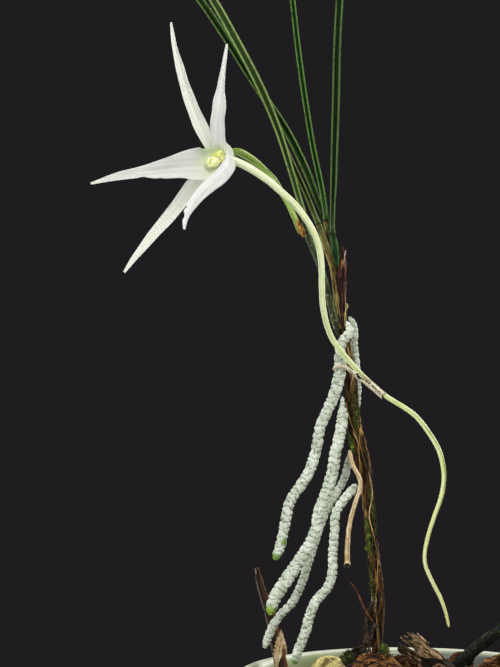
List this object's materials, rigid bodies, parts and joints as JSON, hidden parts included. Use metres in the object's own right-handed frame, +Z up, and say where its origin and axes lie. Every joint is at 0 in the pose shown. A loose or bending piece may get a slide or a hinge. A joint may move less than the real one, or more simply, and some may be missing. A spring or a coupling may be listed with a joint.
{
  "type": "potted orchid",
  "caption": "Small epiphytic orchid with a star-shaped white flower, a long nectar spur, narrow folded leaves and aerial roots, in a round glazed pot of bark.",
  "frame": {"origin": "middle of the pot's flat bottom", "axes": "+Z up the pot and the stem; the flower, the leaves and the roots lean to -X; -Y faces the viewer of the picture"},
  "size_m": [0.1254, 0.09, 0.2912],
  "materials": {
    "glaze": "gloss",
    "bark": "matte",
    "orange_bark": "matte",
    "pebble": "matte",
    "mossy_bark": "matte",
    "stem": "matte",
    "leaf": "satin",
    "olive_leaf": "satin",
    "tepal": "satin",
    "lip": "satin",
    "column": "satin",
    "pedicel": "satin",
    "root": "matte",
    "dry_tan": "matte",
    "dry_brown": "matte"
  },
  "bodies": {
    "root": {"pot": "glaze", "stem": "stem", "bark_chunk_front": "orange_bark", "bark_chunk_left": "bark", "bark_chunk_right": "orange_bark", "bark_chunk_outer": "bark", "bark_split_chip": "bark", "mossy_twig": "mossy_bark", "pebble": "pebble", "dry_stick": "dry_brown", "bark_flake": "dry_tan", "bark_bed": "bark", "leaf_upright": "leaf", "leaf_inner_left": "leaf", "leaf_front_left": "leaf", "leaf_middle_left": "olive_leaf", "leaf_back_left": "leaf", "ovary": "pedicel", "bract": "dry_tan", "column": "column", "anther_cap": "tepal", "lip_with_spur": "lip", "sepal_upper": "tepal", "sepal_lower": "tepal", "sepal_back": "tepal", "petal_upper": "tepal", "petal_lower": "tepal", "root_front": "root", "root_clasping": "root", "root_middle": "root", "root_back": "root", "root_long": "root", "dead_root_hanging": "dry_tan", "dead_root_crossing": "dry_tan", "dry_spike": "dry_brown"}
  },
  "joints": []
}
